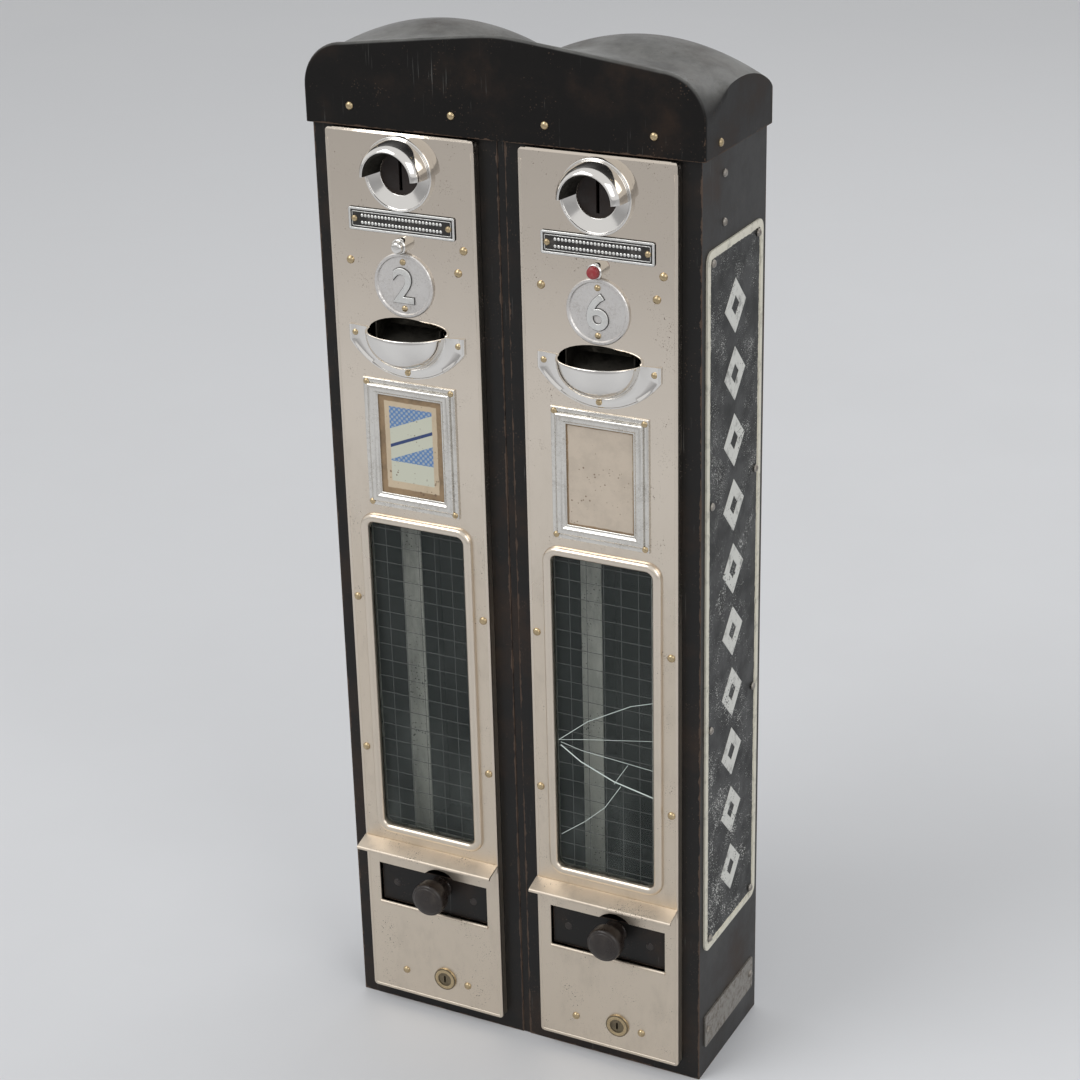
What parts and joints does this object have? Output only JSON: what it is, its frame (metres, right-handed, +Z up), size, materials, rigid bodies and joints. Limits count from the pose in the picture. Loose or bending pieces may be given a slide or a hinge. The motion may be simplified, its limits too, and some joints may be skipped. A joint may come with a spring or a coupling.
{
  "type": "coin-operated packet vending machine",
  "caption": "Slim wall machine with paired columns under one domed hood, each with coin entry, return cup, card frame, wired window, pull drawer and lock.",
  "frame": {"origin": "middle of the bounding box at floor level, under the columns", "axes": "+Z up, +X to the right when facing the machine, fronts towards -Y and backs towards +Y"},
  "size_m": [0.3158, 0.146, 0.811],
  "materials": {
    "black_paint": "old black stove paint, chipped and browned",
    "sign_enamel": "black enamel with a cream border, speckled",
    "nickel": "worn nickel plate, bright above and dull below",
    "bare_steel": "plain steel, dull",
    "galvanised": "galvanised sheet, dull",
    "pewter": "cast white metal, dull",
    "brass": "old brass, tarnished",
    "aluminium": "pressed sheet, dull",
    "wired_glass": "wired glass, dusty",
    "bakelite": "dark brown moulded resin, slightly worn",
    "red_plastic": "dull red moulded resin",
    "brown_fibre": "brown vulcanised fibre",
    "card_stock": "printed card, stained"
  },
  "bodies": {
    "case": {"left_case": "black_paint", "right_case": "black_paint", "column_spacer": "black_paint", "joining_bolts": "bare_steel", "hood": "black_paint", "hood_screws": "brass", "sign_plate": "sign_enamel", "small_plate": "bare_steel", "side_screws": "bare_steel", "door_pivots": "bare_steel", "left_magazine": "galvanised", "left_drawer_shelf": "galvanised", "left_coin_tube": "galvanised", "left_cash_box": "galvanised", "right_magazine": "galvanised", "right_drawer_shelf": "galvanised", "right_coin_tube": "galvanised", "right_cash_box": "galvanised"},
    "left_door": {"left_panel": "nickel", "left_window_glass": "wired_glass", "left_glass_retainer": "galvanised", "left_coin_bezel": "nickel", "left_coin_plate": "brown_fibre", "left_label_plate": "aluminium", "left_price_disc": "aluminium", "left_return_cup": "nickel", "left_card_frame": "pewter", "left_card": "card_stock", "left_ledge": "nickel", "left_lock_barrel": "brass", "left_rivets": "brass", "left_coin_chute": "galvanised", "left_button_bush": "nickel", "left_button_spring": "bare_steel"},
    "left_button": {"left_return_button": "nickel"},
    "left_lever": {"left_reject_lever": "brass"},
    "left_lock": {"left_lock_plug": "brass"},
    "left_drawer_box": {"left_drawer": "black_paint", "left_drawer_knob": "bakelite"},
    "right_door": {"right_panel": "nickel", "right_window_glass": "wired_glass", "right_glass_retainer": "galvanised", "right_coin_bezel": "nickel", "right_coin_plate": "brown_fibre", "right_label_plate": "aluminium", "right_price_disc": "aluminium", "right_return_cup": "nickel", "right_card_frame": "pewter", "right_card": "card_stock", "right_ledge": "nickel", "right_lock_barrel": "brass", "right_rivets": "brass", "right_coin_chute": "galvanised", "right_button_bush": "nickel", "right_button_spring": "bare_steel"},
    "right_button": {"right_return_button": "red_plastic"},
    "right_lever": {"right_reject_lever": "brass"},
    "right_lock": {"right_lock_plug": "brass"},
    "right_drawer_box": {"right_drawer": "black_paint", "right_drawer_knob": "bakelite"}
  },
  "joints": [
    {"name": "left_door_hinge", "type": "hinge", "parent": "case", "child": "left_door", "pos_m": [-0.0775, -0.0455, 0.7335], "axis": [-1, 0, 0], "range_deg": [0, 60]},
    {"name": "left_drawer_slide", "type": "slide", "parent": "case", "child": "left_drawer_box", "axis": [0, -1, 0], "range_m": [0, 0.07]},
    {"name": "left_button_slide", "type": "slide", "parent": "left_door", "child": "left_button", "axis": [0, 1, 0], "range_m": [0, 0.0035], "stiffness_N_per_m": 300, "deforming": ["left_button_spring"]},
    {"name": "left_lever_hinge", "type": "hinge", "parent": "left_door", "child": "left_lever", "pos_m": [-0.0775, -0.036, 0.6292], "axis": [-1, 0, 0], "range_deg": [0, 7.5]},
    {"name": "left_lock_turn", "type": "hinge", "parent": "left_door", "child": "left_lock", "pos_m": [-0.0695, -0.049, 0.0365], "axis": [0, 1, 0], "range_deg": [0, 90]},
    {"name": "right_door_hinge", "type": "hinge", "parent": "case", "child": "right_door", "pos_m": [0.0775, -0.0455, 0.7335], "axis": [-1, 0, 0], "range_deg": [0, 60]},
    {"name": "right_drawer_slide", "type": "slide", "parent": "case", "child": "right_drawer_box", "axis": [0, -1, 0], "range_m": [0, 0.07]},
    {"name": "right_button_slide", "type": "slide", "parent": "right_door", "child": "right_button", "axis": [0, 1, 0], "range_m": [0, 0.0035], "stiffness_N_per_m": 300, "deforming": ["right_button_spring"]},
    {"name": "right_lever_hinge", "type": "hinge", "parent": "right_door", "child": "right_lever", "pos_m": [0.0775, -0.036, 0.6292], "axis": [-1, 0, 0], "range_deg": [0, 7.5]},
    {"name": "right_lock_turn", "type": "hinge", "parent": "right_door", "child": "right_lock", "pos_m": [0.0855, -0.049, 0.0365], "axis": [0, 1, 0], "range_deg": [0, 90]}
  ],
  "couplings": [
    {"joint": "left_lever_hinge", "follows": "left_button_slide", "rad_per_m": 37.037},
    {"joint": "right_lever_hinge", "follows": "right_button_slide", "rad_per_m": 37.037}
  ]
}
